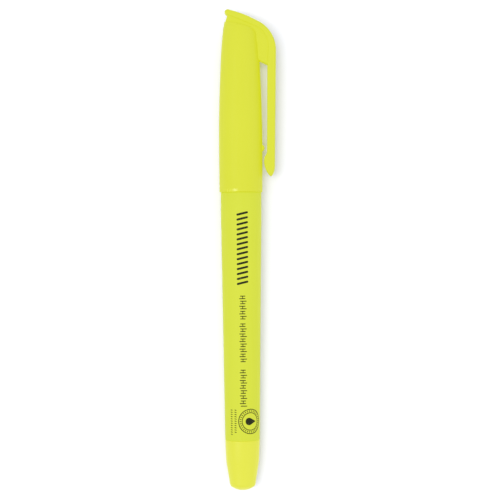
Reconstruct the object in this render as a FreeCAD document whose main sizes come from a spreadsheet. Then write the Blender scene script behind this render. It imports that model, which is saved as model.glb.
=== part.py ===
import FreeCAD, Part
import math
import os
import re

import Sketcher
from FreeCAD import Vector

# A capped pocket highlighter pen, lying down. The pen's axis is the row's Y axis: the tail ends at
# y = 0 and the clip's strap ends at y = overall_length. The clip stands out along +X, and Z is up.
# Lengths are in millimetres. Outlines of turned pieces are drawn as (radius, place along the axis).
SIZES = {
    # How far a cutting outline passes the material that it cuts.
    "cut_reach": 1.0,
    # Barrel: a thin tapered tube, with a straight band where the cap ends.
    "band_radius": 5.73,
    "band_start": 75.2,
    "barrel_end": 84.12,
    "taper_radius": 5.66,
    "taper_end": 73.8,
    "seam_radius": 4.88,
    "seam_place": 14.1,
    "bore_radius": 4.3,
    "bore_tail_radius": 3.9,
    "socket_radius": 4.65,
    "socket_start": 71.9,
    # Tail plug: closes the tail, and stands on a small flat.
    "tail_shoulder_radius": 4.64,
    "tail_shoulder": 8.1,
    "tail_cone_radius": 3.68,
    "tail_cone_end": 2.1,
    "tail_corner": 1.5,
    "tail_dome_radius": 3.0,
    "tail_dome_height": 0.75,
    "tail_dome_curve": 6.0,
    "tail_flat_radius": 1.3,
    "tail_wall": 1.1,
    "spigot_end": 20.5,
    "spigot_wall": 0.75,
    "rib_count": 4,
    "rib_width": 0.8,
    "rib_inner": 0.6,
    # Nose section: holds the nib, and carries the bead that the cap snaps over.
    "neck_radius": 5.1,
    "neck_end": 91.6,
    "bead_radius": 5.17,
    "bead_place": 88.4,
    "bead_reach": 0.9,
    "nose_radius": 4.55,
    "nose_start": 92.2,
    "cone_start": 96.0,
    "cone_radius": 3.45,
    "cone_end": 107.5,
    "cone_bulge": 120.0,
    "collar_radius": 3.05,
    "collar_start": 107.9,
    "section_end": 113.0,
    "collar_edge_length": 0.5,
    "collar_edge_depth": 0.45,
    "section_bore_radius": 3.85,
    "section_cone": 97.2,
    "throat_radius": 2.6,
    "throat_place": 103.0,
    "throat_lead": 0.5,
    "vent_count": 4,
    "vent_width": 0.6,
    "vent_depth": 0.32,
    # Nib: a fibre rod, cut to a chisel.
    "nib_radius": 2.0,
    "nib_back": 94.5,
    "nib_tip": 118.8,
    "nib_end_depth": 0.3,
    "nib_end_length": 0.6,
    "chisel_back": 115.0,
    "chisel_land": 0.55,
    "bevel_drop": 2.2,
    # Ink reservoir: a wrapped fibre rod with a breather tube let into its side.
    "core_radius": 3.6,
    "core_back": 20.5,
    "core_front": 97.0,
    "film_thickness": 0.1,
    "film_margin": 1.2,
    "breather_radius": 0.55,
    "breather_bore": 0.35,
    "breather_place": 2.85,
    # Cap: a tube that narrows to its top, with the clip's strap and web on it.
    "cap_mouth": 84.2,
    "cap_mouth_radius": 6.07,
    "rim_round": 0.38,
    "cap_radius": 6.13,
    "cap_widest": 97.0,
    "cap_waist_radius": 5.62,
    "cap_waist": 118.7,
    "waist_curve": 430.0,
    "shoulder_curve": 130.0,
    "cap_top_radius": 4.76,
    "cap_shoulder": 130.4,
    "cap_top_edge": 4.32,
    "cap_top": 132.8,
    "slant_place": 131.38,
    "slant_rise": 0.28,
    "cap_bore_radius": 5.25,
    "cap_bore_end": 92.4,
    "liner_seat_radius": 4.55,
    "liner_seat": 103.5,
    "liner_taper": 119.0,
    "liner_step": 0.35,
    "cavity_radius": 4.2,
    "cavity_waist": 125.8,
    "cavity_top_radius": 3.4,
    "cavity_top": 129.2,
    "nub_place": 96.7,
    "nub_half": 0.95,
    "nub_top": 6.73,
    "nub_base": 5.7,
    "nub_edge": 6.08,
    "nub_round": 1.0,
    "nub_width": 2.4,
    # Clip: an arched strap over the cap's top, a narrower web under it, and a springy arm.
    "overall_length": 136.0,
    "strap_end": -3.45,
    "strap_lip": -4.38,
    "strap_lip_place": 135.15,
    "strap_nose": 1.1,
    "strap_under": -3.6,
    "strap_under_place": 134.42,
    "arch_radius": 9.07,
    "arch_x": 1.1,
    "arch_y": 124.5,
    "arch_angle": 58.0,
    "strap_crown": 34.0,
    "under_radius": 6.0,
    "under_x": 1.95,
    "under_y": 125.64,
    "under_angle": 69.6,
    "clip_width": 4.6,
    "clip_edge": 0.42,
    "web_width": 4.2,
    "web_end": -3.35,
    "web_foot": -4.05,
    "web_foot_place": 132.5,
    "web_base": 128.0,
    "web_overlap": 0.6,
    "slot_top": 121.5,
    "slot_wall": 5.2,
    "clip_root": 120.3,
    "root_outer": 10.12,
    "root_inner": 7.7,
    "root_gap": 0.1,
    "heel_outer": 9.68,
    "heel_place": 92.0,
    "heel_round": 5.5,
    "tip_outer": 9.05,
    "tip_outer_place": 89.1,
    "tip_inner": 8.15,
    "tip_inner_place": 88.95,
    "tip_round": 0.75,
    "ball_inner": 6.76,
    "ball_place": 94.2,
    "ball_round": 6.2,
    "ball_neck": 7.48,
    "ball_neck_place": 96.2,
    "neck_round": 2.6,
    # Inner cap: an airtight cup around the nib.
    "lip_mouth_radius": 4.2,
    "lip_radius": 3.63,
    "lip_start": 106.9,
    "lip_end": 107.6,
    "cup_radius": 3.78,
    "cup_start": 108.4,
    "cup_taper_radius": 3.48,
    "cup_end": 124.3,
    "cup_outer_radius": 4.15,
    "cup_top": 125.4,
}

document = FreeCAD.newDocument("pocket_highlighter")
sheet = document.addObject("Spreadsheet::Sheet", "Sizes")
for row, (alias, size) in enumerate(SIZES.items(), start=1):
    sheet.set(f"A{row}", alias)
    sheet.set(f"B{row}", str(size))
    sheet.setAlias(f"B{row}", alias)
document.recompute()

ALIAS = re.compile(r"(?<!\w)[a-z][a-z_]+\b(?!\()")


def cells(formula):
    """A formula in the sheet's aliases, as an expression that any object can hold."""
    return ALIAS.sub(lambda alias: f"Sizes.{alias.group()}", formula)


def value(formula):
    """What a formula in the sheet's aliases comes to."""
    return float(sheet.evalExpression(cells(formula)))


def new_body(label):
    body = document.addObject("PartDesign::Body", label)
    body.Label = label
    body.Placement = FreeCAD.Placement()
    return body


def new_sketch(body, name, role="XY_Plane"):
    """An empty sketch on one of the body's own origin planes."""
    sketch = body.newObject("Sketcher::SketchObject", f"{body.Label}_{name}")
    plane = next(feature for feature in body.Origin.OriginFeatures if feature.Role == role)
    sketch.AttachmentSupport = (plane, [""])
    sketch.MapMode = "FlatFace"
    return sketch


def arc_between(start, end, radius):
    """The minor arc from start to end. It turns left where radius is positive, right where negative."""
    chord = end - start
    height = math.sqrt(radius * radius - chord.Length * chord.Length / 4)
    across = Vector(-chord.y, chord.x, 0).normalize()
    centre = (start + end) / 2 + across * math.copysign(height, radius)
    first, last = (start, end) if radius > 0 else (end, start)
    angles = [math.atan2(point.y - centre.y, point.x - centre.x) for point in (first, last)]
    return Part.ArcOfCircle(Part.Circle(centre, Vector(0, 0, 1), abs(radius)), *angles)


def fix_coordinate(sketch, kind, line, vertex, position, formula):
    """Binds one coordinate of a sketch vertex to the sheet, or to an axis where it is zero."""
    if abs(value(formula)) < 1e-9:
        sketch.addConstraint(Sketcher.Constraint("PointOnObject", vertex, position, line))
        return
    constraint = Sketcher.Constraint(kind, -1, 1, vertex, position, value(formula))
    index = sketch.addConstraint(constraint)
    sketch.setExpression(f"Constraints[{index}]", cells(formula))


def outline(body, name, corners, role="XY_Plane"):
    """A closed outline through corners (x, y) or (x, y, radius), where a corner's radius makes the
    side that arrives at it an arc: positive turns left, negative turns right."""
    sketch = new_sketch(body, name, role)
    points = [Vector(value(corner[0]), value(corner[1]), 0) for corner in corners]
    sides = []
    for index, corner in enumerate(corners):
        start, end = points[index - 1], points[index]
        if len(corner) == 3:
            radius = value(corner[2])
            side = sketch.addGeometry(arc_between(start, end, radius), False)
            sides.append((side, 1, 2) if radius > 0 else (side, 2, 1))
            bound = sketch.addConstraint(Sketcher.Constraint("Radius", side, abs(radius)))
            sketch.setExpression(f"Constraints[{bound}]", f"abs({cells(corner[2])})")
        else:
            side = sketch.addGeometry(Part.LineSegment(start, end), False)
            sides.append((side, 1, 2))
    for index, corner in enumerate(corners):
        side, _, end = sides[index]
        following, start, _ = sides[(index + 1) % len(sides)]
        sketch.addConstraint(Sketcher.Constraint("Coincident", side, end, following, start))
        fix_coordinate(sketch, "DistanceX", -2, side, end, corner[0])
        fix_coordinate(sketch, "DistanceY", -1, side, end, corner[1])
    return sketch


def revolve(body, sketch, feature="Revolution"):
    """A full turn of the sketch about the pen's axis. A Groove has to take material away."""
    document.recompute()
    before = body.Shape.Volume if feature == "Groove" else 0
    turned = body.newObject(f"PartDesign::{feature}", f"{sketch.Name}_turned")
    turned.Profile = sketch
    turned.ReferenceAxis = (sketch, ["V_Axis"])
    turned.Angle = 360
    body.Tip = turned
    document.recompute()
    if feature == "Groove" and turned.Shape.Volume >= before:
        raise RuntimeError(f"{turned.Name} cuts nothing")
    return turned


def pad(body, sketch, width, feature="Pad"):
    """The sketch drawn out by half the width on both sides of its plane."""
    document.recompute()
    before = body.Shape.Volume if feature == "Pocket" else 0
    padded = body.newObject(f"PartDesign::{feature}", f"{sketch.Name}_padded")
    padded.Profile = sketch
    padded.SideType = "Symmetric"
    padded.setExpression("Length", cells(width))
    body.Tip = padded
    document.recompute()
    if feature == "Pocket" and padded.Shape.Volume >= before:
        raise RuntimeError(f"{padded.Name} cuts nothing")
    return padded


def repeat_round(body, feature, axis_sketch, count):
    """The feature repeated evenly about the pen's axis."""
    pattern = body.newObject("PartDesign::PolarPattern", f"{feature.Name}_pattern")
    pattern.Originals = [feature]
    pattern.Axis = (axis_sketch, ["V_Axis"])
    pattern.Angle = 360
    pattern.setExpression("Occurrences", cells(count))
    body.Tip = pattern
    document.recompute()
    return pattern


def round_sides(body, base, sides, radius):
    """Rounds a pad's edges along some sides of its outline, numbered as the corners they arrive at."""
    curves = [base.Profile[0].Geometry[side] for side in sides]
    middles = [curve.value((curve.FirstParameter + curve.LastParameter) / 2) for curve in curves]
    names = []
    for index, edge in enumerate(base.Shape.Edges, start=1):
        middle = edge.valueAt((edge.FirstParameter + edge.LastParameter) / 2)
        if any(math.hypot(middle.x - point.x, middle.y - point.y) < 1e-4 for point in middles):
            names.append(f"Edge{index}")
    fillet = body.newObject("PartDesign::Fillet", f"{base.Name}_rounded")
    fillet.Base = (base, names)
    fillet.setExpression("Radius", cells(radius))
    body.Tip = fillet
    document.recompute()
    return fillet


def make_barrel():
    body = new_body("barrel")
    revolve(body, outline(body, "wall", [
        ("bore_tail_radius", "seam_place"),
        ("seam_radius", "seam_place"),
        ("taper_radius", "taper_end"),
        ("band_radius", "band_start"),
        ("band_radius", "barrel_end"),
        ("socket_radius", "barrel_end"),
        ("socket_radius", "socket_start"),
        ("bore_radius", "socket_start"),
    ]))
    return body


def make_tail_plug():
    """A hollow plug: a domed end outside, a spigot inside the barrel, and ribs that hold the reservoir."""
    body = new_body("tail_plug")
    wall = revolve(body, outline(body, "wall", [
        ("0", "0"),
        ("tail_flat_radius", "0"),
        ("tail_dome_radius", "tail_dome_height", "tail_dome_curve"),
        ("tail_cone_radius", "tail_cone_end", "tail_corner"),
        ("tail_shoulder_radius", "tail_shoulder"),
        ("seam_radius", "seam_place"),
        ("bore_tail_radius", "seam_place"),
        ("bore_tail_radius", "spigot_end"),
        ("bore_tail_radius - spigot_wall", "spigot_end"),
        ("bore_tail_radius - spigot_wall", "tail_shoulder"),
        ("tail_cone_radius - tail_wall", "tail_cone_end + tail_wall / 2"),
        ("tail_flat_radius", "tail_dome_height + tail_wall"),
        ("0", "tail_dome_height + tail_wall"),
    ]))
    rib = pad(body, outline(body, "rib", [
        ("rib_inner", "tail_wall"),
        ("bore_tail_radius - spigot_wall / 2", "tail_shoulder"),
        ("bore_tail_radius - spigot_wall / 2", "core_back"),
        ("rib_inner", "core_back"),
    ]), "rib_width")
    repeat_round(body, rib, wall.Profile[0], "rib_count")
    return body


def make_nib_section():
    """The nose: a spigot in the barrel, a neck with the cap's snap bead, a cone and a nib collar."""
    body = new_body("nib_section")
    wall = revolve(body, outline(body, "wall", [
        ("section_bore_radius", "socket_start"),
        ("socket_radius", "socket_start"),
        ("socket_radius", "barrel_end"),
        ("neck_radius", "barrel_end"),
        ("neck_radius", "bead_place - bead_reach"),
        ("bead_radius", "bead_place"),
        ("neck_radius", "bead_place + bead_reach"),
        ("neck_radius", "neck_end"),
        ("nose_radius", "nose_start"),
        ("nose_radius", "cone_start"),
        ("cone_radius", "cone_end", "cone_bulge"),
        ("collar_radius", "collar_start"),
        ("collar_radius", "section_end - collar_edge_length"),
        ("collar_radius - collar_edge_depth", "section_end"),
        ("nib_radius", "section_end"),
        ("nib_radius", "throat_place + throat_lead"),
        ("throat_radius", "throat_place"),
        ("section_bore_radius", "section_cone"),
    ]))
    vent = pad(body, outline(body, "vent", [
        ("nib_radius - vent_depth", "throat_place - cut_reach"),
        ("nib_radius + vent_depth", "throat_place - cut_reach"),
        ("nib_radius + vent_depth", "section_end + cut_reach"),
        ("nib_radius - vent_depth", "section_end + cut_reach"),
    ]), "vent_width", "Pocket")
    repeat_round(body, vent, wall.Profile[0], "vent_count")
    return body


def make_nib():
    """A round fibre rod whose front is cut on the slant to a chisel edge."""
    body = new_body("nib")
    revolve(body, outline(body, "rod", [
        ("0", "nib_back"),
        ("nib_radius - nib_end_depth", "nib_back"),
        ("nib_radius", "nib_back + nib_end_length"),
        ("nib_radius", "nib_tip"),
        ("0", "nib_tip"),
    ]))
    across = "2 * (nib_radius + cut_reach)"
    for name, sign in (("left", "-1"), ("right", "1")):
        pad(body, outline(body, f"{name}_slant", [
            (f"{sign} * (nib_radius + cut_reach)", "chisel_back"),
            (f"{sign} * nib_radius", "chisel_back"),
            (f"{sign} * chisel_land", "nib_tip"),
            (f"{sign} * chisel_land", "nib_tip + cut_reach"),
            (f"{sign} * (nib_radius + cut_reach)", "nib_tip + cut_reach"),
        ]), across, "Pocket")
    pad(body, outline(body, "bevel", [
        ("nib_tip - bevel_drop", "-1 * nib_radius"),
        ("nib_tip - bevel_drop", "-1 * (nib_radius + cut_reach)"),
        ("nib_tip + cut_reach", "-1 * (nib_radius + cut_reach)"),
        ("nib_tip + cut_reach", "nib_radius"),
        ("nib_tip", "nib_radius"),
    ], "YZ_Plane"), across, "Pocket")
    return body


def make_reservoir_core():
    """The ink-filled fibre rod, with a hole for the nib's back end and a groove for the breather."""
    body = new_body("reservoir_core")
    revolve(body, outline(body, "rod", [
        ("0", "core_back"),
        ("core_radius", "core_back"),
        ("core_radius", "core_front"),
        ("nib_radius", "core_front"),
        ("nib_radius", "nib_back"),
        ("0", "nib_back"),
    ]))
    pad(body, outline(body, "breather_slot", [
        ("-1 * (core_radius + cut_reach)", "core_back - cut_reach"),
        ("breather_radius - breather_place", "core_back - cut_reach"),
        ("breather_radius - breather_place", "core_front + cut_reach"),
        ("-1 * (core_radius + cut_reach)", "core_front + cut_reach"),
    ]), "breather_radius * 2", "Pocket")
    return body


def make_reservoir_film():
    body = new_body("reservoir_film")
    revolve(body, outline(body, "wrap", [
        ("core_radius", "core_back + film_margin"),
        ("core_radius + film_thickness", "core_back + film_margin"),
        ("core_radius + film_thickness", "core_front - film_margin"),
        ("core_radius", "core_front - film_margin"),
    ]))
    return body


def make_breather_tube():
    """A thin plastic tube beside the fibre, which lets air pass behind the ink."""
    cylinders = []
    for name, radius in (("wall", "breather_radius"), ("bore", "breather_bore")):
        cylinder = document.addObject("Part::Cylinder", f"breather_{name}")
        cylinder.setExpression("Radius", cells(radius))
        cylinder.setExpression("Height", cells("core_front - core_back - 2 * film_margin"))
        cylinders.append(cylinder)
    tube = document.addObject("Part::Cut", "breather_tube")
    tube.Label = "breather_tube"
    tube.Base, tube.Tool = cylinders
    tube.Placement = FreeCAD.Placement(Vector(0, 0, 0), FreeCAD.Rotation(Vector(1, 0, 0), -90))
    tube.setExpression("Placement.Base.x", cells("-1 * breather_place"))
    tube.setExpression("Placement.Base.y", cells("core_back + film_margin"))
    return tube


def make_cap_shell():
    """The cap's tube with its slanted top, the clip's strap and web, and the small nub under the clip,
    as one moulding."""
    body = new_body("cap_shell")
    revolve(body, outline(body, "tube", [
        ("0", "cap_mouth"),
        ("cap_mouth_radius - rim_round", "cap_mouth"),
        ("cap_mouth_radius", "cap_mouth + rim_round", "rim_round"),
        ("cap_radius", "cap_widest"),
        ("cap_waist_radius", "cap_waist", "waist_curve"),
        ("cap_top_radius", "cap_shoulder", "shoulder_curve"),
        ("cap_top_edge", "cap_top"),
        ("0", "cap_top"),
    ]))
    past = "cap_radius + cut_reach"
    pad(body, outline(body, "slant", [
        (f"-1 * ({past})", f"slant_place + slant_rise * ({past})"),
        (past, f"slant_place - slant_rise * ({past})"),
        (past, "cap_top + cut_reach"),
        (f"-1 * ({past})", "cap_top + cut_reach"),
    ]), f"2 * ({past})", "Pocket")
    arch_end_x = "arch_x + arch_radius * cos(arch_angle * 1deg)"
    arch_end_y = "arch_y + arch_radius * sin(arch_angle * 1deg)"
    under_end_x = "under_x + under_radius * cos(under_angle * 1deg)"
    under_end_y = "under_y + under_radius * sin(under_angle * 1deg)"
    strap = pad(body, outline(body, "strap", [
        ("root_inner", "clip_root"),
        ("root_outer", "clip_root"),
        ("arch_x + arch_radius", "arch_y"),
        (arch_end_x, arch_end_y, "arch_radius"),
        ("strap_end", "overall_length", "strap_crown"),
        ("strap_lip", "strap_lip_place", "strap_nose"),
        ("strap_under", "strap_under_place", "strap_nose"),
        (under_end_x, under_end_y),
        ("under_x + under_radius", "under_y", "-1 * under_radius"),
    ]), "clip_width")
    round_sides(body, strap, [2, 3, 4], "clip_edge")
    pad(body, outline(body, "web", [
        ("0", "web_base"),
        ("slot_wall", "slot_top"),
        ("root_inner", "clip_root"),
        ("root_inner + web_overlap", "clip_root"),
        ("under_x + under_radius + web_overlap", "under_y"),
        (f"{under_end_x} + web_overlap / 2", f"{under_end_y} + web_overlap", "under_radius + web_overlap"),
        ("web_end", "strap_under_place + web_overlap"),
        ("web_foot", "web_foot_place"),
    ]), "web_width")
    pad(body, outline(body, "nub", [
        ("nub_base", "nub_place - nub_half"),
        ("nub_edge", "nub_place - nub_half"),
        ("nub_top", "nub_place", "nub_round"),
        ("nub_edge", "nub_place + nub_half", "nub_round"),
        ("nub_base", "nub_place + nub_half"),
    ]), "nub_width")
    revolve(body, outline(body, "cavity", [
        ("0", "cap_mouth - cut_reach"),
        ("cap_bore_radius", "cap_mouth - cut_reach"),
        ("cap_bore_radius", "cap_bore_end"),
        ("liner_seat_radius + liner_step", "liner_seat"),
        ("liner_seat_radius", "liner_seat"),
        ("liner_seat_radius", "liner_taper"),
        ("cavity_radius", "cavity_waist"),
        ("cavity_top_radius", "cavity_top"),
        ("0", "cavity_top"),
    ]), "Groove")
    return body


def make_inner_cap():
    """A cup pressed into the cap, whose lip closes around the nose section."""
    body = new_body("inner_cap")
    revolve(body, outline(body, "cup", [
        ("lip_mouth_radius", "liner_seat"),
        ("liner_seat_radius", "liner_seat"),
        ("liner_seat_radius", "liner_taper"),
        ("cup_outer_radius", "cup_top"),
        ("0", "cup_top"),
        ("0", "cup_end"),
        ("cup_taper_radius", "cup_end"),
        ("cup_radius", "liner_taper"),
        ("cup_radius", "cup_start"),
        ("lip_radius", "lip_end"),
        ("lip_radius", "lip_start"),
    ]))
    return body


def make_clip_arm():
    """The clip's free arm, from its root beside the slot to the ball that grips the cloth."""
    body = new_body("clip_arm")
    arm = pad(body, outline(body, "arm", [
        ("root_inner", "clip_root - root_gap"),
        ("ball_neck", "ball_neck_place"),
        ("ball_inner", "ball_place", "-1 * neck_round"),
        ("tip_inner", "tip_inner_place", "ball_round"),
        ("tip_outer", "tip_outer_place", "tip_round"),
        ("heel_outer", "heel_place", "heel_round"),
        ("root_outer", "clip_root - root_gap"),
    ]), "clip_width")
    round_sides(body, arm, [5, 6], "clip_edge")
    return body


pieces = [
    make_barrel(),
    make_tail_plug(),
    make_nib_section(),
    make_nib(),
    make_reservoir_core(),
    make_reservoir_film(),
    make_breather_tube(),
    make_cap_shell(),
    make_inner_cap(),
    make_clip_arm(),
]
document.recompute()

for item in document.Objects:
    if "Invalid" in item.State or "Error" in item.State:
        raise RuntimeError(f"{item.Name} did not build: {item.State}")
for piece in pieces:
    if piece.Shape.isNull() or not piece.Shape.isValid() or len(piece.Shape.Solids) != 1:
        raise RuntimeError(f"{piece.Label} is not one valid solid")

os.makedirs("parts", exist_ok=True)
for piece in pieces:
    piece.Shape.exportStep(f"parts/{piece.Label}.step")
    print(f"{piece.Label}: {piece.Shape.Volume:.1f} mm3")
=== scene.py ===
"""The looks of a capped pocket highlighter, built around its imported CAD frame.

The pen lies along Y, cap towards +Y, with its clip on the +X side and Z up. Outlines are in
millimetres, as (radius, y) for turned pieces and (x, y) for the clip, and meshes are in metres.
"""

import math

import bmesh
import bpy
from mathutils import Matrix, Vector


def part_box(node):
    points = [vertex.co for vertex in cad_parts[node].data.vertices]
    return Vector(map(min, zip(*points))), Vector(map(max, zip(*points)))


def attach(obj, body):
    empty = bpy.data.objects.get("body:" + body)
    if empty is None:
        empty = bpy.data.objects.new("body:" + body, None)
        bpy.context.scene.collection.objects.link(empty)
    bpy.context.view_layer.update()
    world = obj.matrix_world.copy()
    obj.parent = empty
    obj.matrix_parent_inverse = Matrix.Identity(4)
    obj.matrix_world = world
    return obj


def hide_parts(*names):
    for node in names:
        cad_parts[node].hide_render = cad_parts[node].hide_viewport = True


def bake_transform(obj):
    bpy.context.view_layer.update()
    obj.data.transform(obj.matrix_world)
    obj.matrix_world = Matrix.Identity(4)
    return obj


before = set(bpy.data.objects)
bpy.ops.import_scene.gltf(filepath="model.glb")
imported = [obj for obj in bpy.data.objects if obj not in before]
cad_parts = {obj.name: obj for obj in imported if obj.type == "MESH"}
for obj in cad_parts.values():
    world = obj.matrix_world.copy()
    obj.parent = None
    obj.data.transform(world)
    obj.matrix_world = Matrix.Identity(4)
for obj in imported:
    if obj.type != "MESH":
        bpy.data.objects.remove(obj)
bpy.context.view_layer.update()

MM = 0.001
AROUND = 160            # facets around a turned piece
ARC_STEP = 0.12         # radians between points of a rounded corner
LONGEST_ROUND = 0.48    # how much of a side a rounded corner may take up
CREASE = 35             # degrees between two faces from which their edge looks sharp


def cad_span(node):
    """The CAD node's lowest and highest corners, in millimetres."""
    low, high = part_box(node)
    return low / MM, high / MM


barrel_low, barrel_high = cad_span("barrel")
cap_low, cap_high = cad_span("cap_shell")
section_low, section_high = cad_span("nib_section")
nib_low, nib_high = cad_span("nib")
liner_low, liner_high = cad_span("inner_cap")
arm_high = cad_span("clip_arm")[1]
plug_high = cad_span("tail_plug")[1]

# Places along the pen.
SEAM = barrel_low.y                 # where the tail plug meets the barrel
BARREL_END = barrel_high.y
MOUTH = cap_low.y                   # the cap's open end
ROOT = arm_high.y                   # where the clip arm starts to bend
TOP = cap_high.y                    # the strap's highest point

# Radii, and half the clip's width.
SEAM_RADIUS = 4.88
BAND = barrel_high.z                # the straight band under the cap
SOCKET = 4.65                       # the barrel's bore that takes the nose section
RIM = 6.07                          # the cap at its open end
CAP_RADIUS = cap_high.z             # the cap at its widest
LINER_SEAT = 4.55                   # the cap's bore that takes the inner cap
CLIP_HALF = arm_high.z


# ---------------------------------------------------------------- outlines and meshes

def arc(start, end, radius, steps=12):
    """Points after start, up to end, on the minor arc that turns left (radius > 0) or right."""
    a, b = Vector(start), Vector(end)
    chord = b - a
    height = math.sqrt(radius * radius - chord.length_squared / 4)
    across = Vector((-chord.y, chord.x)).normalized() * math.copysign(height, radius)
    centre = (a + b) / 2 + across
    first = math.atan2(a.y - centre.y, a.x - centre.x)
    turn = 2 * math.asin(chord.length / 2 / abs(radius)) * math.copysign(1, radius)
    angles = [first + turn * step / steps for step in range(1, steps + 1)]
    return [(centre.x + abs(radius) * math.cos(angle), centre.y + abs(radius) * math.sin(angle))
            for angle in angles]


def rounded(corners):
    """An outline whose corners (x, y, r) are rounded to radius r. Corners (x, y) stay sharp."""
    points = []
    count = len(corners)
    for index, corner in enumerate(corners):
        here = Vector(corner[:2])
        if len(corner) < 3:
            points.append(tuple(here))
            continue
        before = Vector(corners[index - 1][:2]) - here
        after = Vector(corners[(index + 1) % count][:2]) - here
        opening = before.angle(after)
        reach = corner[2] / math.tan(opening / 2)
        reach = min(reach, before.length * LONGEST_ROUND, after.length * LONGEST_ROUND)
        radius = reach * math.tan(opening / 2)
        start = here + before.normalized() * reach
        end = here + after.normalized() * reach
        side = 1 if before.x * after.y - before.y * after.x < 0 else -1
        steps = max(2, math.ceil((math.pi - opening) / ARC_STEP))
        points.append(tuple(start))
        points += arc(start, end, radius * side, steps)
    return points


def finished(name, mesh_builder):
    """Turns a bmesh in millimetres into an object with smooth faces and crisp edges."""
    bmesh.ops.recalc_face_normals(mesh_builder, faces=mesh_builder.faces)
    bmesh.ops.scale(mesh_builder, vec=(MM, MM, MM), verts=mesh_builder.verts)
    mesh = bpy.data.meshes.new(name)
    mesh_builder.to_mesh(mesh)
    mesh_builder.free()
    mesh.shade_smooth()
    mesh.set_sharp_from_angle(angle=math.radians(CREASE))
    piece = bpy.data.objects.new(name, mesh)
    bpy.context.scene.collection.objects.link(piece)
    return piece


def turned(name, outline, radius_at=None):
    """A closed outline (radius, y) turned about the pen's axis. An outline that starts and ends on
    the axis closes there. radius_at(radius, y, angle) may shape the surface around the turn."""
    builder = bmesh.new()
    rings = []
    for radius, along in outline:
        if radius < 1e-6:
            rings.append([builder.verts.new((0, along, 0))])
            continue
        ring = []
        for step in range(AROUND):
            angle = 2 * math.pi * step / AROUND
            reach = radius_at(radius, along, angle) if radius_at else radius
            place = (reach * math.cos(angle), along, reach * math.sin(angle))
            ring.append(builder.verts.new(place))
        rings.append(ring)
    for index, ring in enumerate(rings):
        following = rings[(index + 1) % len(rings)]
        if len(ring) == 1 and len(following) == 1:
            continue
        for step in range(AROUND):
            turn = (step + 1) % AROUND
            corners = [ring[step % len(ring)], ring[turn % len(ring)],
                       following[turn % len(following)], following[step % len(following)]]
            builder.faces.new(dict.fromkeys(corners))
    return finished(name, builder)


def slab(name, outline, half_width, edge):
    """An outline (x, y) drawn out along Z to both sides, with its flat sides' edges rounded."""
    builder = bmesh.new()
    points = [Vector(point) for point in outline]
    count = len(points)
    area = sum(points[i - 1].x * points[i].y - points[i].x * points[i - 1].y for i in range(count))
    sharpest = 0.35         # keeps a sharp corner from being pushed far inwards
    inward = []
    for index, here in enumerate(points):
        before = (here - points[index - 1]).normalized()
        after = (points[(index + 1) % count] - here).normalized()
        along = (before + after).normalized()
        normal = Vector((-along.y, along.x)) * math.copysign(1, area)
        inward.append(normal / max(sharpest, math.cos(before.angle(after, 0) / 2)))
    levels = [(edge * (1 - math.cos(turn)), half_width - edge + edge * math.sin(turn))
              for turn in (math.pi / 2 * step / 4 for step in range(5))]
    sides = [(inset, -height) for inset, height in reversed(levels)] + levels
    rings = []
    for inset, height in sides:
        rings.append([builder.verts.new((*(here + normal * inset), height))
                      for here, normal in zip(points, inward)])
    for lower, upper in zip(rings, rings[1:]):
        for index in range(count):
            turn = (index + 1) % count
            builder.faces.new((lower[index], lower[turn], upper[turn], upper[index]))
    for ring in (rings[0], rings[-1]):
        builder.faces.new(ring)
    return finished(name, builder)


def lofted(name, stations):
    """A bar through stations (outer point, inner point, half width). Each section is a rectangle
    with rounded corners, softer on the outer side, and a slightly crowned outer face."""
    soft_edge, tight_edge, crown, largest_edge = 0.5, 0.16, 0.1, 0.42
    builder = bmesh.new()
    rings = []
    for outer, inner, half_width in stations:
        outer, inner = Vector(outer), Vector(inner)
        thickness = (outer - inner).length
        out = (outer - inner).normalized()
        centre = (outer + inner) / 2
        section = [(thickness / 2, 0.0), (thickness / 2 - crown * 0.25, half_width * 0.5)]
        for side, edge in ((1, soft_edge), (-1, tight_edge)):
            edge = min(edge, largest_edge * thickness, largest_edge * half_width)
            drop = crown if side > 0 else 0
            middle = (side * (thickness / 2 - edge) - drop, half_width - edge)
            turns = [math.pi / 2 * step / 5 for step in range(6)]
            for turn in turns if side > 0 else reversed(turns):
                section.append((middle[0] + side * edge * math.cos(turn),
                                middle[1] + edge * math.sin(turn)))
        section += [(-thickness / 2, half_width * 0.5), (-thickness / 2, 0.0)]
        section += [(across, -height) for across, height in reversed(section[1:-1])]
        rings.append([builder.verts.new((*(centre + out * across), height))
                      for across, height in section])
    for ring, following in zip(rings, rings[1:]):
        for index in range(len(ring)):
            turn = (index + 1) % len(ring)
            builder.faces.new((ring[index], ring[turn], following[turn], following[index]))
    for ring in (rings[0], rings[-1]):
        middle = sum((vert.co for vert in ring), Vector()) / len(ring)
        pole = builder.verts.new(middle)
        for index in range(len(ring)):
            builder.faces.new((ring[index], ring[(index + 1) % len(ring)], pole))
    return finished(name, builder)


# ---------------------------------------------------------------- materials

def principled(name):
    """A material with nodes, its Principled shader, a maker of further nodes, and of links."""
    material = bpy.data.materials.new(name)
    material.use_nodes = True
    tree = material.node_tree
    shader = tree.nodes["Principled BSDF"]

    def node(kind, **settings):
        made = tree.nodes.new(kind)
        for setting, content in settings.items():
            if hasattr(made, setting):
                setattr(made, setting, content)
            else:
                made.inputs[setting.replace("_", " ")].default_value = content
        return made

    return material, shader, node, tree.links.new


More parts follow.
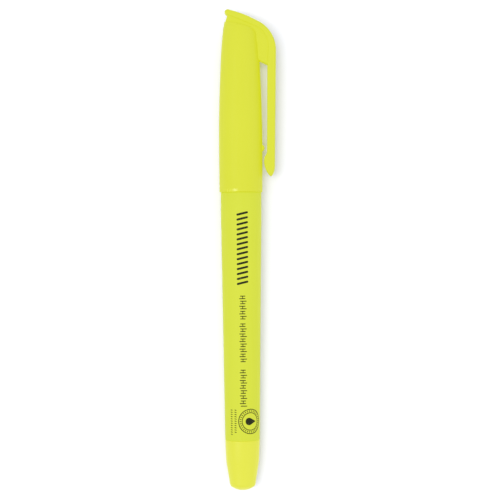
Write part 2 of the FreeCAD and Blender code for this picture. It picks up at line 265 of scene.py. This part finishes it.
def moulded_plastic(name, colour, roughness, painted_glow, grain=1.0, shine=0.3):
    """Fluorescent moulded plastic: faint flow clouding, fine surface grain, and handling wear that
    shows as long thin streaks of different gloss. painted_glow is the strength of a painted glow, a
    steady emission in the plastic's colour that lights it evenly from every side and flattens its
    shade."""
    deep_colour = [channel * 0.96 for channel in colour]
    material, shader, node, link = principled(name)
    place = node("ShaderNodeTexCoord")
    clouds = node("ShaderNodeTexNoise", Scale=70.0, Detail=3.0, Roughness=0.55)
    link(place.outputs["Object"], clouds.inputs["Vector"])
    blend = node("ShaderNodeMix", data_type="RGBA")
    blend.inputs["A"].default_value = (*colour, 1)
    blend.inputs["B"].default_value = (*deep_colour, 1)
    spread = node("ShaderNodeMapRange")
    spread.inputs["From Min"].default_value = 0.3
    spread.inputs["From Max"].default_value = 0.75
    link(clouds.outputs["Fac"], spread.inputs["Value"])
    link(spread.outputs["Result"], blend.inputs["Factor"])
    link(blend.outputs["Result"], shader.inputs["Base Color"])

    stretch = node("ShaderNodeMapping")
    stretch.inputs["Scale"].default_value = (1.0, 0.06, 1.0)
    link(place.outputs["Object"], stretch.inputs["Vector"])
    streaks = node("ShaderNodeTexNoise", Scale=1500.0, Detail=4.0, Roughness=0.6)
    link(stretch.outputs["Vector"], streaks.inputs["Vector"])
    gloss = node("ShaderNodeMapRange")
    gloss.inputs["From Min"].default_value = 0.35
    gloss.inputs["From Max"].default_value = 0.8
    gloss.inputs["To Min"].default_value = roughness
    gloss.inputs["To Max"].default_value = roughness + 0.16
    link(streaks.outputs["Fac"], gloss.inputs["Value"])
    link(gloss.outputs["Result"], shader.inputs["Roughness"])

    fine = node("ShaderNodeTexNoise", Scale=1400.0, Detail=2.0, Roughness=0.5)
    link(place.outputs["Object"], fine.inputs["Vector"])
    height = node("ShaderNodeMath", operation="ADD")
    link(fine.outputs["Fac"], height.inputs[0])
    link(clouds.outputs["Fac"], height.inputs[1])
    bump = node("ShaderNodeBump")
    bump.inputs["Strength"].default_value = 0.22 * grain
    bump.inputs["Distance"].default_value = 0.03 * MM
    link(height.outputs["Value"], bump.inputs["Height"])
    link(bump.outputs["Normal"], shader.inputs["Normal"])

    shader.inputs["IOR"].default_value = 1.49
    shader.inputs["Specular IOR Level"].default_value = shine
    # Painted glow: this emission lights the plastic the same from every side, lit or not, and evens
    # out its shade.
    shader.inputs["Emission Color"].default_value = (colour[0], colour[1], 0.0, 1)
    shader.inputs["Emission Strength"].default_value = painted_glow
    return material


def printed_ink(name):
    """Black pad-printed ink with tiny pinholes that let the plastic's colour through."""
    material, shader, node, link = principled(name)
    place = node("ShaderNodeTexCoord")
    speckle = node("ShaderNodeTexNoise", Scale=2600.0, Detail=2.0, Roughness=0.6)
    link(place.outputs["Object"], speckle.inputs["Vector"])
    ramp = node("ShaderNodeValToRGB")
    ramp.color_ramp.elements[0].position = 0.62
    ramp.color_ramp.elements[0].color = (0.012, 0.014, 0.003, 1)
    ramp.color_ramp.elements[1].position = 0.78
    ramp.color_ramp.elements[1].color = (0.16, 0.17, 0.03, 1)
    link(speckle.outputs["Fac"], ramp.inputs["Fac"])
    link(ramp.outputs["Color"], shader.inputs["Base Color"])
    shader.inputs["Roughness"].default_value = 0.5
    shader.inputs["Specular IOR Level"].default_value = 0.12
    return material


def ink_fibre(name, colour, dry_colour):
    """Bonded fibre full of ink: fine strands along the pen, a wet sheen and a faint painted glow.
    """
    material, shader, node, link = principled(name)
    place = node("ShaderNodeTexCoord")
    stretch = node("ShaderNodeMapping")
    stretch.inputs["Scale"].default_value = (1.0, 0.12, 1.0)
    link(place.outputs["Object"], stretch.inputs["Vector"])
    strands = node("ShaderNodeTexNoise", Scale=5200.0, Detail=4.0, Roughness=0.7)
    link(stretch.outputs["Vector"], strands.inputs["Vector"])
    blend = node("ShaderNodeMix", data_type="RGBA")
    blend.inputs["A"].default_value = (*colour, 1)
    blend.inputs["B"].default_value = (*dry_colour, 1)
    link(strands.outputs["Fac"], blend.inputs["Factor"])
    link(blend.outputs["Result"], shader.inputs["Base Color"])
    bump = node("ShaderNodeBump")
    bump.inputs["Strength"].default_value = 0.6
    bump.inputs["Distance"].default_value = 0.05 * MM
    link(strands.outputs["Fac"], bump.inputs["Height"])
    link(bump.outputs["Normal"], shader.inputs["Normal"])
    shader.inputs["Roughness"].default_value = 0.62
    shader.inputs["Sheen Weight"].default_value = 0.15
    # A faint painted glow in the ink's colour, lit or not.
    shader.inputs["Emission Color"].default_value = (*colour, 1)
    shader.inputs["Emission Strength"].default_value = 0.05
    return material


def natural_plastic(name, colour, roughness, clearness):
    """Undyed plastic, slightly cloudy."""
    material, shader, node, link = principled(name)
    place = node("ShaderNodeTexCoord")
    clouds = node("ShaderNodeTexNoise", Scale=260.0, Detail=3.0, Roughness=0.6)
    link(place.outputs["Object"], clouds.inputs["Vector"])
    blend = node("ShaderNodeMix", data_type="RGBA")
    blend.inputs["A"].default_value = (*colour, 1)
    blend.inputs["B"].default_value = (*(channel * 0.88 for channel in colour), 1)
    link(clouds.outputs["Fac"], blend.inputs["Factor"])
    link(blend.outputs["Result"], shader.inputs["Base Color"])
    bump = node("ShaderNodeBump")
    bump.inputs["Strength"].default_value = 0.2
    bump.inputs["Distance"].default_value = 0.02 * MM
    link(clouds.outputs["Fac"], bump.inputs["Height"])
    link(bump.outputs["Normal"], shader.inputs["Normal"])
    shader.inputs["Roughness"].default_value = roughness
    shader.inputs["Transmission Weight"].default_value = clearness
    return material


# The fourth number of each plastic is the strength of its painted glow, which evens out its shade.
cap_plastic = moulded_plastic("fluorescent_cap", (0.117, 0.123, 0.017), 0.50, 4.40)
barrel_plastic = moulded_plastic("fluorescent_barrel", (0.112, 0.123, 0.021), 0.52, 4.42)
# The tail plug's plastic is a shade lighter than the barrel's. This is painted light, for the
# brighter light its downward-turning taper catches.
tail_plastic = moulded_plastic("fluorescent_tail", (0.127, 0.129, 0.022), 0.38, 4.40, 1.0, 0.45)
polished_plastic = moulded_plastic("fluorescent_rim", (0.119, 0.125, 0.010), 0.22, 4.4, 0.4, 0.6)
section_plastic = moulded_plastic("fluorescent_section", (0.123, 0.130, 0.028), 0.48, 4.2)
ink = printed_ink("printed_ink")
nib_fibre = ink_fibre("inked_nib", (0.74, 0.85, 0.02), (0.80, 0.86, 0.10))
core_fibre = ink_fibre("inked_core", (0.66, 0.78, 0.03), (0.78, 0.84, 0.16))
film = natural_plastic("clear_film", (0.84, 0.87, 0.60), 0.22, 0.5)
breather = natural_plastic("natural_breather", (0.84, 0.85, 0.82), 0.30, 0.2)
liner_plastic = natural_plastic("natural_inner_cap", (0.80, 0.83, 0.52), 0.45, 0.0)


def add_piece(piece, material, body=None, replaces=()):
    """Gives a piece its material and CAD body, and hides the CAD nodes it replaces."""
    piece.data.materials.append(material)
    if body:
        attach(piece, body)
    if replaces:
        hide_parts(*replaces)
    return piece


# ---------------------------------------------------------------- barrel, tail and nose

SPIGOT = 3.9            # radius of the plug's spigot, and of the barrel's bore round it
TAIL_ROUND = (3.68, 2.1)

barrel_outline = rounded([
    (SPIGOT, SEAM, 0.1),
    (SEAM_RADIUS, SEAM, 0.14),
    (5.66, 73.8, 8),
    (BAND, 75.2, 8),
    (BAND, BARREL_END, 0.16),
    (SOCKET, BARREL_END, 0.1),
    (SOCKET, 71.9),
    (4.3, 71.9),
])


def make_barrel():
    tube = turned("barrel_tube", barrel_outline)
    return add_piece(tube, barrel_plastic, "barrel", ["barrel"])


def make_tail():
    """The tail plug: a rounded foot with a small flat, a shoulder at the seam, and its spigot."""
    flat, knee, joint_gap = (1.3, 0), (3.0, 0.75), 0.03
    dome = [(0, 0), flat] + arc(flat, knee, 6.0) + arc(knee, TAIL_ROUND, 1.5)
    shoulder = rounded([
        TAIL_ROUND,
        (4.64, 8.1, 14),
        (SEAM_RADIUS, SEAM - joint_gap, 0.14),
        (SPIGOT, SEAM - joint_gap),
    ])
    spigot_end = [(SPIGOT, plug_high.y), (3.15, plug_high.y)]
    hollow = [(3.15, 8.1), (2.58, 2.65), (1.3, 1.85), (0, 1.85)]
    piece = turned("tail_end", dome + shoulder[1:] + spigot_end + hollow)
    return add_piece(piece, tail_plastic, "barrel", ["tail_plug"])


def make_nose():
    """The nose section, with the cap's snap bead, and four air vents in the nib's bore."""
    end = section_high.y
    bore, vent_depth, vent_half_angle = 2.0, 0.32, 0.16
    cone = arc((4.55, 96.0), (3.45, 107.5), 120.0, 8)
    outline = rounded([
        (3.85, section_low.y, 0.1),
        (SOCKET, section_low.y, 0.2),
        (SOCKET, BARREL_END),
        (5.1, BARREL_END, 0.1),
        (5.1, 87.5, 0.4),
        (5.17, 88.4, 0.5),
        (5.1, 89.3, 0.4),
        (5.1, 91.6, 0.3),
        (4.55, 92.2, 0.3),
        (4.55, 96.0),
    ]) + cone + rounded([
        (3.05, 107.9, 0.2),
        (3.05, end - 0.45, 0.35),
        (2.6, end, 0.15),
        (bore, end, 0.08),
        (bore, 103.5),
        (2.6, 103.0),
        (3.85, 97.2),
    ])

    def vented(radius, along, angle):
        in_bore = radius < bore + 0.2 and along > 103.4
        in_vent = abs(math.remainder(angle, math.pi / 2)) < vent_half_angle
        return radius + vent_depth if in_bore and in_vent else radius

    piece = turned("nose_section", outline, vented)
    return add_piece(piece, section_plastic, "barrel", ["nib_section"])


def make_nib():
    """A fibre rod cut to a chisel: two slanted flats, and an edge cut on the bevel."""
    radius, back, tip = nib_high.x, nib_low.y, nib_high.y
    edge_half, flat_slope, bevel_drop, softening = 0.5, 2.5, 2.2, 0.06
    back_chamfer, back_radius = 0.4, radius * 0.86
    rings_across, around = 14, 96
    builder = bmesh.new()

    def front(x, z):
        """Where the cut end lies: the lower of the flats and the bevel, a little below the edge."""
        slanted = tip - max(0.0, abs(x) - edge_half) * flat_slope
        bevelled = tip - bevel_drop * (radius - z) / (2 * radius)
        if slanted - bevelled > 4 * softening:
            return bevelled - 2 * softening
        return min(slanted, bevelled) - softening

    def ring(reach, height):
        points = []
        for step in range(around):
            angle = 2 * math.pi * step / around
            x, z = reach * math.cos(angle), reach * math.sin(angle)
            points.append(builder.verts.new((x, height(x, z), z)))
        return points

    base = back + back_chamfer
    rings = [ring(back_radius, lambda x, z: back), ring(radius, lambda x, z: base)]
    rings += [ring(radius, lambda x, z, share=share: base + (front(x, z) - base) * share)
              for share in (0.5, 0.9, 0.99)]
    rings += [ring(radius * share / rings_across, front) for share in range(rings_across, 0, -1)]
    for lower, upper in zip(rings, rings[1:]):
        for step in range(around):
            turn = (step + 1) % around
            builder.faces.new((lower[step], lower[turn], upper[turn], upper[step]))
    for end_ring in (rings[0], rings[-1]):
        builder.faces.new(end_ring)
    return add_piece(finished("chisel_nib", builder), nib_fibre, "barrel", ["nib"])


def dress_inside():
    """The sealed inner CAD pieces keep their shapes and get their real materials."""
    dressed = {"reservoir_core": core_fibre, "reservoir_film": film, "breather_tube": breather}
    for node, material in dressed.items():
        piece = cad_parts[node]
        for slot in piece.material_slots:
            slot.material = material
        piece.data.shade_smooth()
        piece.data.set_sharp_from_angle(angle=math.radians(CREASE))


# ---------------------------------------------------------------- cap and clip

WEB_HALF = 2.1
POLISHED = 0.85         # how far up from the rim the thumb's polish reaches
TAPER_END = (4.76, 130.4)           # where the cap's tube ends and its slanted top starts
WIDEST = 97.0                       # where the cap is widest
SHOULDER = 129.3                    # above here the tube's end leans with its slanted top

# The arch that the strap and the arm share, and the arch under it.
ARCH_CENTRE, ARCH_RADIUS, ARCH_ANGLE = Vector((1.1, 124.5)), 9.07, math.radians(58)
UNDER_CENTRE, UNDER_RADIUS, UNDER_ANGLE = Vector((1.95, 125.64)), 6.0, math.radians(69.6)

# The strap's rounded end, and where its outer and inner faces start.
STRAP_TIP, STRAP_NOSE = (-4.38, 135.15), 1.1
STRAP_OUTER, STRAP_INNER = (-3.45, TOP), (-3.6, 134.42)


def on_circle(centre, radius, angle):
    return (centre.x + radius * math.cos(angle), centre.y + radius * math.sin(angle))


def make_cap_tube():
    """The cap's tube. Its top slants down towards the clip, and a thumb has polished its rim."""
    bore, waist, crown = 5.25, (5.62, 118.7), 132.8
    outer = rounded([(bore, MOUTH, 0.15), (RIM, MOUTH, 0.2), (RIM, MOUTH + POLISHED)])
    outer += [(CAP_RADIUS, WIDEST)]
    outer += arc((CAP_RADIUS, WIDEST), waist, 430.0, 16) + arc(waist, TAPER_END, 130.0, 10)
    top = rounded([TAPER_END, (4.35, crown, 0.34), (0, crown)])[1:]
    inside = [(0, 129.2), (3.4, 129.2), (4.2, 125.8), (LINER_SEAT, 119.0), (LINER_SEAT, 103.5)]
    inside += [(4.9, 103.5), (bore, 92.4)]
    piece = turned("cap_tube", outer + top + inside)
    for vert in piece.data.vertices:
        x, y = vert.co.x / MM, vert.co.y / MM
        if y > SHOULDER:
            share = (y - SHOULDER) / (crown - SHOULDER)
            vert.co.y = (SHOULDER + (slanted_top(x) - SHOULDER) * share) * MM
    add_piece(piece, cap_plastic, "cap", ["cap_shell"])
    polish_rim(piece)
    return piece


def polish_rim(tube):
    """The spot above the rim that a thumb has polished, on the upper side away from the clip."""
    tube.data.materials.append(polished_plastic)
    outside, left, right = 5.8, -3.9, -0.7
    for face in tube.data.polygons:
        x, y, z = face.center / MM
        on_outside = math.hypot(x, z) > outside and y < MOUTH + POLISHED
        if on_outside and z > 0 and left < x < right:
            face.material_index = 1


def slanted_top(x):
    """How far along the pen the cap's slanted top lies at x."""
    return 131.38 - 0.28 * x


def make_web():
    """The narrower wall between the strap and the tube, down to the top of the clip's slot."""
    into_strap, above_root, foot = 0.6, ROOT + 0.1, -4.05
    under = [on_circle(UNDER_CENTRE, UNDER_RADIUS + into_strap, UNDER_ANGLE * step / 10)
             for step in range(11)]
    outline = [(0, 128.0), (4.75, 126.0), (5.05, 121.6), (5.5, 121.37)]
    outline += [(7.7, above_root), (8.3, above_root)]
    outline += under + [(-3.35, 134.8), (foot, slanted_top(foot) - 0.03)]
    piece = slab("clip_web", outline, WEB_HALF, 0.2)
    return add_piece(piece, cap_plastic, "cap")


def make_nub():
    """The small stop on the tube that faces the clip."""
    peak = (6.73, 96.7)
    outline = [(5.7, 95.6)] + arc((5.95, 95.7), peak, 1.1, 8) + arc(peak, (5.95, 97.7), 1.1, 8)
    outline += [(5.7, 97.8)]
    piece = slab("clip_nub", outline, 1.2, 0.25)
    return add_piece(piece, cap_plastic, "cap")


def along(start, end, share):
    """The point that far of the way from start to end."""
    return tuple(Vector(start).lerp(Vector(end), share))


def strap_stations():
    """The strap from its rounded end to the arch, then the arch down to the straight arm."""
    nose_outer = arc(STRAP_OUTER, STRAP_TIP, STRAP_NOSE, 6)
    nose_inner = arc(STRAP_INNER, STRAP_TIP, -STRAP_NOSE, 6)
    nose = [(outer, inner, CLIP_HALF - 0.04 * (step + 1) ** 2 / 5)
            for step, (outer, inner) in enumerate(zip(nose_outer[:-1], nose_inner[:-1]))]
    crown_end = on_circle(ARCH_CENTRE, ARCH_RADIUS, ARCH_ANGLE)
    under_end = on_circle(UNDER_CENTRE, UNDER_RADIUS, UNDER_ANGLE)
    strap_outer = [STRAP_OUTER] + arc(STRAP_OUTER, crown_end, -34.0, 24)
    strap_inner = [along(STRAP_INNER, under_end, step / 24) for step in range(25)]
    stations = nose[::-1]
    stations += [(outer, inner, CLIP_HALF) for outer, inner in zip(strap_outer, strap_inner)]
    for step in range(1, 29):
        share = 1 - step / 28
        outer = on_circle(ARCH_CENTRE, ARCH_RADIUS, ARCH_ANGLE * share)
        inner = on_circle(UNDER_CENTRE, UNDER_RADIUS, UNDER_ANGLE * share)
        stations.append((outer, inner, CLIP_HALF))
    return stations


def arm_stations():
    """The arm, straight from the arch past its root to its neck, then the ball at its free end."""
    arm_top = on_circle(ARCH_CENTRE, ARCH_RADIUS, 0), on_circle(UNDER_CENTRE, UNDER_RADIUS, 0)
    root = (10.12, ROOT), (7.7, ROOT)
    neck = (9.745, 96.2), (7.48, 96.2)
    stations = []
    for (start, end), steps in (((arm_top, root), 6), ((root, neck), 36)):
        for step in range(1, steps + 1):
            outer = along(start[0], end[0], step / steps)
            inner = along(start[1], end[1], step / steps)
            stations.append((outer, inner, CLIP_HALF))
    heel_start, heel_end = (9.68, 92.0), (9.05, 89.1)
    heel = [along(neck[0], heel_start, step / 12) for step in range(1, 13)]
    heel += arc(heel_start, heel_end, -5.5, 9) + arc(heel_end, (8.64, 88.78), -0.75, 4)
    ball_peak, ball_end = (6.76, 94.2), (8.15, 88.95)
    ball = arc(neck[1], ball_peak, -2.6, 6) + arc(ball_peak, ball_end, 6.2, 15)
    ball += arc(ball_end, (8.58, 88.76), 0.75, 4)
    for step, (outer, inner) in enumerate(zip(heel, ball)):
        narrowing = max(0.0, (step - 14) / 10) ** 2
        stations.append((outer, inner, CLIP_HALF - 0.8 * narrowing))
    return stations


def make_clip():
    """Strap and arm as one springy bar, built as it rests; the real arm bends just below its root.
    """
    bar = lofted("clip_strap_and_arm", strap_stations() + arm_stations())
    piece = add_piece(bar, cap_plastic, None, ["clip_arm"])
    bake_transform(piece)
    return piece


def make_inner_cap():
    """The airtight cup round the nib, with a lip that seals on the nose section."""
    base, top, floor, cup = liner_low.y, liner_high.y, 124.3, 3.78
    outline = rounded([
        (4.2, base, 0.1),
        (LINER_SEAT, base, 0.1),
        (LINER_SEAT, 119.0),
        (4.15, top, 0.3),
        (0, top),
    ])
    outline += [(0, floor), (3.48, floor), (cup, 119.0), (cup, 108.4), (3.63, 107.6), (3.63, 106.9)]
    piece = turned("airtight_inner_cap", outline)
    return add_piece(piece, liner_plastic, "cap", ["inner_cap"])


# ---------------------------------------------------------------- print on the barrel
# Shapes are drawn flat as (around, y): around is the distance round the barrel from its upper side.

printed_side = [point for point in barrel_outline if point[0] > 4.8]       # the barrel's outside


def barrel_radius(along):
    """The barrel's outer radius, in millimetres, at a place along the pen."""
    for (radius, y), (next_radius, next_y) in zip(printed_side, printed_side[1:]):
        if y <= along <= next_y and next_y > y:
            return radius + (next_radius - radius) * (along - y) / (next_y - y)
    return BAND


def stroke(start, end, width):
    """A straight mark with rounded ends."""
    start, end = Vector(start), Vector(end)
    heading = math.atan2(end.y - start.y, end.x - start.x)
    points = []
    for middle, first in ((end, heading - math.pi / 2), (start, heading + math.pi / 2)):
        for step in range(7):
            turn = first + math.pi * step / 6
            points.append((middle.x + width / 2 * math.cos(turn),
                           middle.y + width / 2 * math.sin(turn)))
    return points


def round_ring(x, y, radius, width, pieces=4):
    """A ring as abutting arc-shaped patches, because a patch can't have a hole."""
    shapes = []
    for piece in range(pieces):
        turns = [2 * math.pi * (piece + step / 12) / pieces for step in range(13)]
        outer = [(x + radius * math.cos(turn), y + radius * math.sin(turn)) for turn in turns]
        hole = radius - width
        inner = [(x + hole * math.cos(turn), y + hole * math.sin(turn)) for turn in turns]
        shapes.append(outer + inner[::-1])
    return shapes


def printed(name, shapes):
    """Flat shapes laid on the barrel's upper side as a thin closed film of ink."""
    builder = bmesh.new()
    thickness, bite, facet, closest = 0.02, 0.01, 0.3, 0.01
    curved_from, curved_to = 70, 80         # where the barrel isn't a plain cone
    for shape in shapes:
        builder.faces.new([builder.verts.new((x, y, 0)) for x, y in shape])
    cuts = [((facet * step, 0, 0), (1, 0, 0)) for step in range(-14, 24)]
    cuts += [((0, y, 0), (0, 1, 0)) for radius, y in printed_side if curved_from < y < curved_to]
    for place, facing in cuts:
        everything = builder.verts[:] + builder.edges[:] + builder.faces[:]
        bmesh.ops.bisect_plane(builder, geom=everything, plane_co=place, plane_no=facing)
    bmesh.ops.remove_doubles(builder, verts=builder.verts, dist=closest)
    shell = bmesh.ops.extrude_face_region(builder, geom=builder.faces[:])
    raised = {element for element in shell["geom"] if isinstance(element, bmesh.types.BMVert)}
    for vert in builder.verts:
        radius = barrel_radius(vert.co.y)
        reach = radius + (thickness if vert in raised else -bite)
        angle = vert.co.x / radius
        vert.co = (reach * math.sin(angle), vert.co.y, reach * math.cos(angle))
    return add_piece(finished(name, builder), ink, "barrel")


def print_strokes():
    """A row of slanted strokes under the cap."""
    base, top, lean = -1.02, 1.66, 0.32
    first, pitch, count = 78.1, 1.39, 15
    rows = [first - pitch * index for index in range(count)]
    printed("print_strokes", [stroke((base, y - lean), (top, y + lean), 0.6) for y in rows])


def print_ticks():
    """Three runs of ticks along the pen, and two rows of small dashes beside the emblem."""
    ticks = []
    for start, end in ((54.9, 48.5), (47.1, 36.5), (34.1, 24.0)):
        count = round((start - end) / 0.72)
        for index in range(count + 1):
            y = start + (end - start) * index / count
            low, high = ((-0.3, 0.95), (-0.3, 1.3), (-0.55, 0.95))[index * 5 % 3]
            ticks.append(stroke((low, y), (high, y), 0.24))
            if index % 2:
                ticks.append(stroke((0.3, y + 0.18), (0.3, y + 0.54), 0.2))
    dash_start, dash_pitch = 22.9, 0.62
    for row, count in ((-1.95, 11), (-3.2, 12)):
        for index in range(count):
            y = dash_start - dash_pitch * index
            ticks.append(stroke((row - 0.22, y), (row + 0.2, y - 0.1), 0.2))
    printed("print_ticks", ticks)


def print_emblem():
    """Two rings with short ticks between them, round a drop."""
    x, y, radius = 2.4, 19.65, 3.55
    emblem = round_ring(x, y, radius, 0.22) + round_ring(x, y, radius - 1.0, 0.2)
    tick_inside, tick_outside, tick_count = radius - 0.78, radius - 0.45, 30
    for index in range(tick_count):
        turn = 2 * math.pi * index / tick_count
        across, up = math.cos(turn), math.sin(turn)
        emblem.append(stroke((x + tick_inside * across, y + tick_inside * up),
                             (x + tick_outside * across, y + tick_outside * up), 0.2))
    drop_tip, drop_back, drop_radius = 1.75, 0.45, 1.05
    drop = [(x + drop_tip, y)]
    for step in range(25):
        turn = math.radians(65 + 230 * step / 24)
        across, up = math.cos(turn), math.sin(turn)
        drop.append((x - drop_back + drop_radius * across, y + drop_radius * up))
    emblem.append(drop)
    printed("print_emblem", emblem)


def make_print():
    """Plain marks where such a pen carries its print, with no letters."""
    print_strokes()
    print_ticks()
    print_emblem()


make_barrel()
make_tail()
make_nose()
make_nib()
dress_inside()
make_cap_tube()
make_web()
make_nub()
make_clip()
make_inner_cap()
make_print()


# ---------------------------------------------------------------- floor, light and camera

RIM_TOUCH = MOUTH + 0.4             # the pen lies on its cap just above the rim, and on its seam
REST_TILT = math.atan2(RIM - SEAM_RADIUS, RIM_TOUCH - SEAM)
FLOOR_GAP = 0.05


def make_floor():
    """A pale floor that touches the pen under the cap's rim and at the barrel's seam."""
    material, shader, node, link = principled("pale_floor")
    place = node("ShaderNodeTexCoord")
    clouds = node("ShaderNodeTexNoise", Scale=9.0, Detail=2.0)
    link(place.outputs["Object"], clouds.inputs["Vector"])
    blend = node("ShaderNodeMix", data_type="RGBA")
    blend.inputs["A"].default_value = (0.63, 0.63, 0.63, 1)
    blend.inputs["B"].default_value = (0.61, 0.61, 0.613, 1)
    link(clouds.outputs["Fac"], blend.inputs["Factor"])
    link(blend.outputs["Result"], shader.inputs["Base Color"])
    shader.inputs["Roughness"].default_value = 0.9
    shader.inputs["Specular IOR Level"].default_value = 0.1
    half = 2.0              # metres
    corners = [(-half, -half, 0), (half, -half, 0), (half, half, 0), (-half, half, 0)]
    mesh = bpy.data.meshes.new("floor")
    mesh.from_pydata(corners, [], [(0, 1, 2, 3)])
    floor = bpy.data.objects.new("floor", mesh)
    bpy.context.scene.collection.objects.link(floor)
    floor.location = (0, SEAM * MM, -(SEAM_RADIUS + FLOOR_GAP) * MM)
    floor.rotation_euler = (-REST_TILT, 0, 0)
    mesh.materials.append(material)


def add_sun(name, towards, energy, width, colour, mirrored=True):
    """A distant light: towards points at it, and width is how wide it looks, in degrees. One that
    isn't mirrored makes no highlights, as with a polarising filter over it."""
    sun = bpy.data.lights.new(name, "SUN")
    sun.energy = energy
    sun.angle = math.radians(width)
    sun.color = colour
    lamp = bpy.data.objects.new(name, sun)
    lamp.rotation_euler = Vector(towards).to_track_quat("Z", "Y").to_euler()
    lamp.visible_glossy = mirrored
    bpy.context.scene.collection.objects.link(lamp)


def make_light():
    """A white tent lit from overhead, a soft card on the right and a small window on the left."""
    world = bpy.data.worlds.new("studio")
    world.use_nodes = True
    background = world.node_tree.nodes["Background"]
    background.inputs["Color"].default_value = (0.94, 0.96, 1.20, 1)
    background.inputs["Strength"].default_value = 0.93
    bpy.context.scene.world = world
    add_sun("overhead", (-0.12, -0.035, 1.0), 2.4, 34, (1.0, 0.99, 0.99), mirrored=False)
    add_sun("card", (1.0, 0.1, 1.0), 0.35, 70, (1.0, 1.0, 1.0))
    add_sun("window", (-0.66, -0.04, 1.0), 0.42, 12, (1.0, 1.0, 1.0))


def make_camera():
    """Straight down on the pen from 0.53 m, with the pen a little left of the picture's middle."""
    camera = bpy.data.cameras.new("camera")
    camera.lens = 135
    camera.sensor_width = 36
    seen_width = 141.7 * MM
    viewer = bpy.data.objects.new("camera", camera)
    viewer.location = (2.45 * MM, 67.83 * MM, seen_width * camera.lens / camera.sensor_width)
    viewer.rotation_euler = (0, 0, math.radians(-0.36))
    bpy.context.scene.collection.objects.link(viewer)
    bpy.context.scene.camera = viewer
    bpy.context.scene.view_settings.view_transform = "Standard"


make_floor()
make_light()
make_camera()
